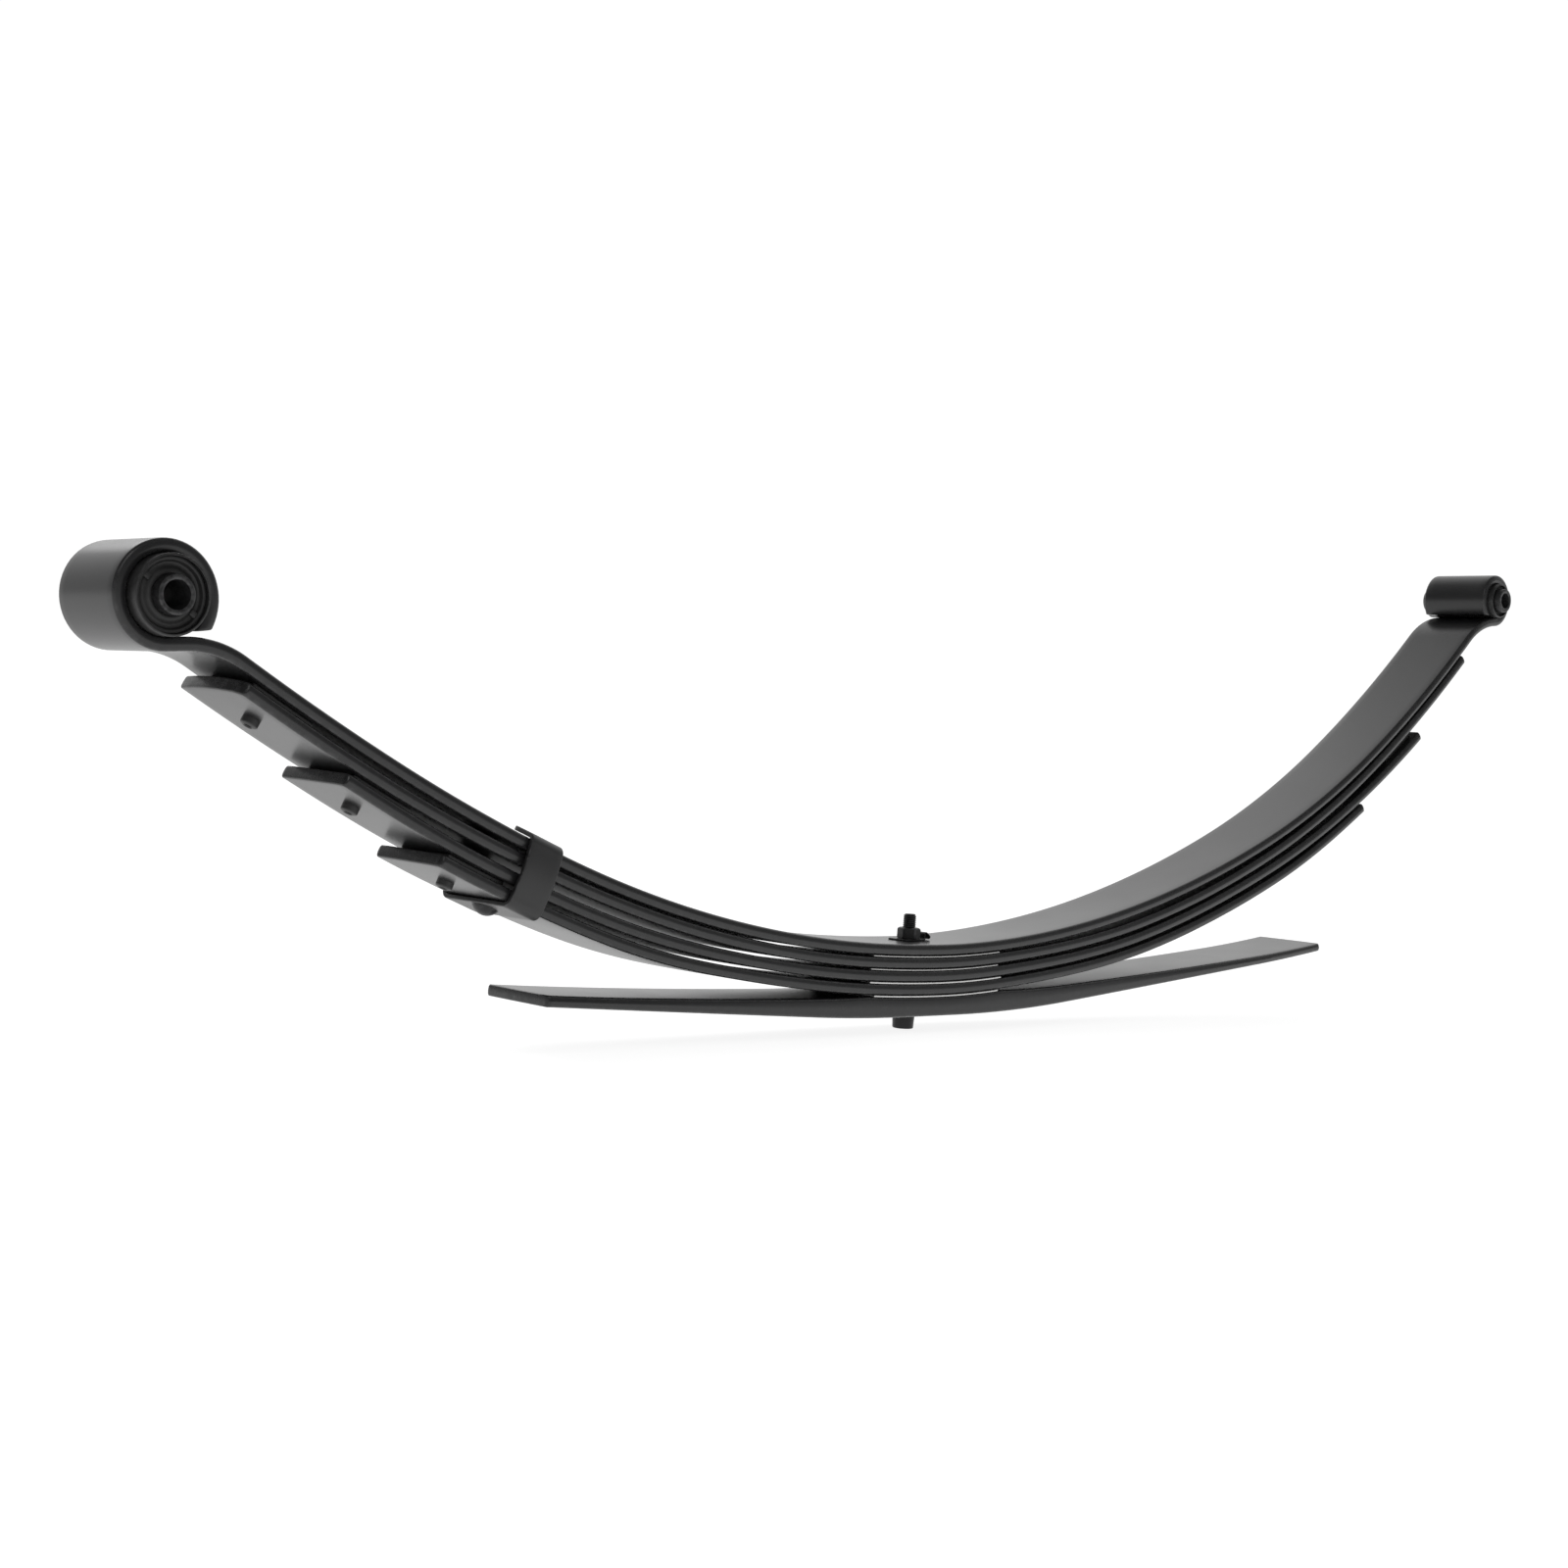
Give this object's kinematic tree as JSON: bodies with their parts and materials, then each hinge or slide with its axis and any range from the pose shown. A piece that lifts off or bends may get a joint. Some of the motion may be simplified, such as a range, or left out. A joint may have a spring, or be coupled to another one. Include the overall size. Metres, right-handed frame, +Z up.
{
  "type": "leaf spring",
  "caption": "Multi-leaf vehicle spring: stacked curved steel leaves with a wrapped, rubber-bushed eye at each end, a centre bolt, a rebound clip and a thicker lower overload leaf.",
  "frame": {"origin": "centre of the axle seat, on the underside of the overload leaf and on the centre bolt's axis", "axes": "+Z up the centre bolt toward its nut, +X along the spring toward the smaller rear eye, Y across the leaves"},
  "size_m": [1.4267, 0.0874, 0.4044],
  "materials": {
    "leaf_black": "semi-gloss black coating",
    "spacer_zinc": "bright zinc-grey sheet",
    "fastener_black": "black oxide",
    "clip_black": "satin black coating",
    "pad_plastic": "moulded",
    "bush_steel": "satin black",
    "bush_rubber": "moulded rubber",
    "sleeve_steel": "satin black"
  },
  "bodies": {
    "leaf_pack": {"main_leaf": "leaf_black", "second_leaf": "leaf_black", "third_leaf": "leaf_black", "fourth_leaf": "leaf_black", "overload_leaf": "leaf_black", "centre_spacer_1": "spacer_zinc", "centre_spacer_2": "spacer_zinc", "centre_spacer_3": "spacer_zinc", "centre_spacer_4": "spacer_zinc", "centre_bolt": "fastener_black", "centre_nut": "fastener_black", "tab_washer": "fastener_black", "rebound_clip": "clip_black", "clip_rivet": "fastener_black", "front_pad_2": "pad_plastic", "front_pad_3": "pad_plastic", "front_pad_4": "pad_plastic", "rear_pad_2": "pad_plastic", "rear_pad_3": "pad_plastic", "rear_pad_4": "pad_plastic", "front_bush_shell": "bush_steel", "front_bush_rubber": "bush_rubber", "rear_bush_shell": "bush_steel", "rear_bush_rubber": "bush_rubber"},
    "front_sleeve": {"front_bush_sleeve": "sleeve_steel"},
    "rear_sleeve": {"rear_bush_sleeve": "sleeve_steel"}
  },
  "joints": [
    {"name": "front_sleeve_twist", "type": "hinge", "parent": "leaf_pack", "child": "front_sleeve", "pos_m": [-0.62677, 0, 0.24363], "axis": [0, 1, 0], "range_deg": [-25, 25], "stiffness_Nm_per_rad": 60},
    {"name": "rear_sleeve_twist", "type": "hinge", "parent": "leaf_pack", "child": "rear_sleeve", "pos_m": [0.74599, 0, 0.36818], "axis": [0, 1, 0], "range_deg": [-25, 25], "stiffness_Nm_per_rad": 60}
  ]
}
